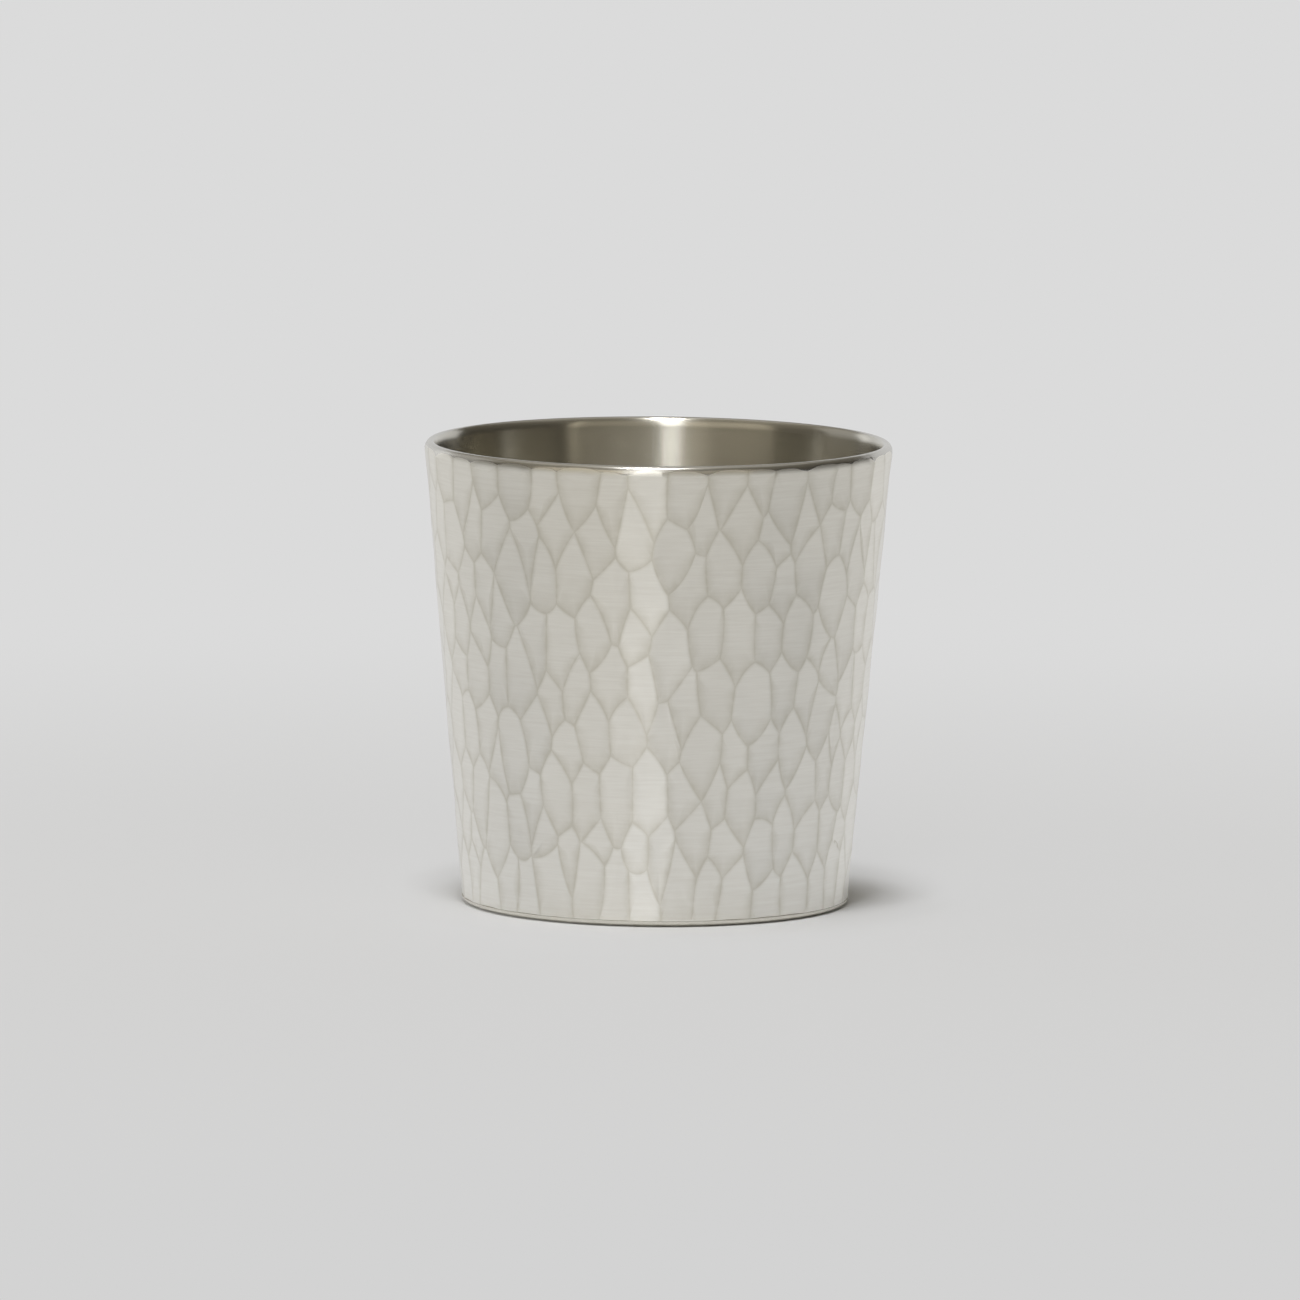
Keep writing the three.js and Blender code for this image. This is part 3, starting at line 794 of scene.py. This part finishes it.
def pale_paper():
    """Matt white paper near the cup, where it takes the shadow, partly lifted by painted light: a pale tone
    that glows for the eye and the metal; farther off the eye and the metal see it as one even pale tone."""
    material, tree = new_material("pale_paper")
    near = add_node(tree, "ShaderNodeBsdfPrincipled", inputs={
        "Base Color": linear("#F1F3F7"), "Roughness": 0.9, "Specular IOR Level": 0.2})
    place = add_node(tree, "ShaderNodeTexCoord").outputs["Object"]
    parts = add_node(tree, "ShaderNodeSeparateXYZ", inputs={0: place})
    depth = add_node(tree, "ShaderNodeMapRange", inputs={
        "Value": parts.outputs["Y"], "From Min": -GRADED_DEPTH, "From Max": GRADED_DEPTH})
    pale = add_node(tree, "ShaderNodeMix", {"data_type": "RGBA"}, {
        "Factor": depth.outputs[0], "A": linear("#D3D3D3"), "B": linear("#DBDBDB")})
    far = add_node(tree, "ShaderNodeEmission", inputs={"Color": pale.outputs["Result"], "Strength": 1.0})
    away = add_node(tree, "ShaderNodeVectorMath", {"operation": "DISTANCE"}, {0: place, 1: SHADOW_MIDDLE})
    # Painted light: the glowing tone lifts the shadow from here, less on the right
    painted_fill = add_node(tree, "ShaderNodeMapRange", {"interpolation_type": "SMOOTHSTEP"}, {
        "Value": away.outputs["Value"], "From Min": SHADOW_START, "From Max": SHADOW_END,
        "To Max": PAINTED_SHADOW_FILL})
    even = add_node(tree, "ShaderNodeMapRange", {"interpolation_type": "SMOOTHSTEP"}, {
        "Value": away.outputs["Value"], "From Min": EVEN_START, "From Max": EVEN_END,
        "To Min": painted_fill.outputs[0]})
    ray = add_node(tree, "ShaderNodeLightPath")
    seen = add_node(tree, "ShaderNodeMath", {"operation": "MAXIMUM"}, {
        0: ray.outputs["Is Camera Ray"], 1: ray.outputs["Is Glossy Ray"]})
    seen = add_node(tree, "ShaderNodeMath", {"operation": "MAXIMUM"}, {
        0: seen.outputs[0], 1: ray.outputs["Is Transmission Ray"]})
    share = add_node(tree, "ShaderNodeMath", {"operation": "MULTIPLY"}, {
        0: seen.outputs[0], 1: even.outputs[0]})
    shader = add_node(tree, "ShaderNodeMixShader", inputs={
        0: share.outputs[0], 1: near.outputs[0], 2: far.outputs[0]})
    close_material(tree, shader)
    return material


def add_softbox(name, place, aim, width, height, power, colour="#FFFFFF"):
    light = bpy.data.lights.new(name, "AREA")
    light.color = linear(colour)[:3]
    light.shape = "RECTANGLE"
    light.size = width
    light.size_y = height
    light.energy = power
    lamp = bpy.data.objects.new(name, light)
    lamp.location = place
    lamp.rotation_mode = "QUATERNION"
    lamp.rotation_quaternion = (Vector(aim) - Vector(place)).to_track_quat("-Z", "Y")
    bpy.context.scene.collection.objects.link(lamp)


def add_panel(name, start, end, brightness):
    """A warm white panel in front of the cup, between two directions in degrees from the viewer's."""
    middle = math.radians((start + end) / 2)
    width = 2 * PANEL_DISTANCE * math.tan(math.radians((end - start) / 2))
    height = PANEL_HIGH - PANEL_LOW
    level = (PANEL_LOW + PANEL_HIGH) / 2
    place = (PANEL_DISTANCE * math.sin(middle), -PANEL_DISTANCE * math.cos(middle), level)
    power = brightness * math.pi * width * height
    add_softbox(name, place, (0, 0, level), width, height, power, PANEL_COLOUR)


def make_camera():
    """A long lens, a little above the rim and aimed just left of the cup's axis."""
    data = bpy.data.cameras.new("camera")
    camera = bpy.data.objects.new("camera", data)
    bpy.context.scene.collection.objects.link(camera)
    camera.location = (CAMERA_AIM.x, -CAMERA_DISTANCE * math.cos(CAMERA_ELEVATION),
                       CAMERA_DISTANCE * math.sin(CAMERA_ELEVATION))
    look = (CAMERA_AIM - camera.location).to_track_quat("-Z", "Y").to_matrix()
    roll = Matrix.Rotation(CAMERA_ROLL, 3, "Z")
    camera.rotation_mode = "QUATERNION"
    camera.rotation_quaternion = (look @ roll).to_quaternion()
    data.sensor_width = SENSOR_WIDTH
    data.lens = SENSOR_WIDTH * PIXELS_PER_METRE * CAMERA_DISTANCE / IMAGE_WIDTH
    data.clip_start = 0.01
    data.clip_end = 50
    bpy.context.scene.camera = camera


def make_world():
    """A dim room with a pale ceiling: darkest at eye level, brighter towards the zenith and on the left."""
    world = bpy.data.worlds.new("studio")
    world.use_nodes = True
    tree = world.node_tree
    tree.nodes.clear()
    ray = add_node(tree, "ShaderNodeTexCoord").outputs["Generated"]
    parts = add_node(tree, "ShaderNodeSeparateXYZ", inputs={0: ray})
    up = add_node(tree, "ShaderNodeMapRange", inputs={
        "Value": parts.outputs["Z"], "From Min": 0.0, "From Max": 1.0, "To Min": 0.05, "To Max": 0.25})
    side = add_node(tree, "ShaderNodeMapRange", inputs={
        "Value": parts.outputs["X"], "From Min": -1.0, "From Max": 1.0, "To Min": 1.35, "To Max": 0.65})
    tone = add_node(tree, "ShaderNodeMath", {"operation": "MULTIPLY"}, {
        0: up.outputs[0], 1: side.outputs[0]})
    light = add_node(tree, "ShaderNodeBackground", inputs={
        "Color": linear("#FFF5DF"), "Strength": tone.outputs[0]})
    add_node(tree, "ShaderNodeOutputWorld", inputs={"Surface": light.outputs[0]})
    return world


make_sweep()
# Sizes in metres, power in watts
add_softbox("key_above", place=(-0.077, -0.512, 1.932), aim=(0, 0, 0), width=0.3, height=0.3, power=13.5)
add_softbox("strip", place=(-0.257, -2.185, 1.6), aim=(0, 0, 0.6), width=0.5, height=3.0, power=10.5)
add_panel("panel_inner", start=-27, end=-13, brightness=0.55)
add_panel("panel_left", start=-64, end=-27, brightness=0.42)
add_panel("panel_right", start=1, end=42, brightness=0.26)
add_panel("panel_edge", start=43, end=49, brightness=0.62)
add_softbox("panel_side", place=(-1.9, 1.2, 0.95), aim=(0, 0, 0.95), width=1.8, height=1.9, power=2.8)
add_softbox("panel_back", place=(0, 1.1, 2.4), aim=(0, 1.0, 0), width=3.5, height=2.5, power=5)
make_camera()

scene = bpy.context.scene
scene.view_settings.view_transform = "Standard"
scene.world = make_world()
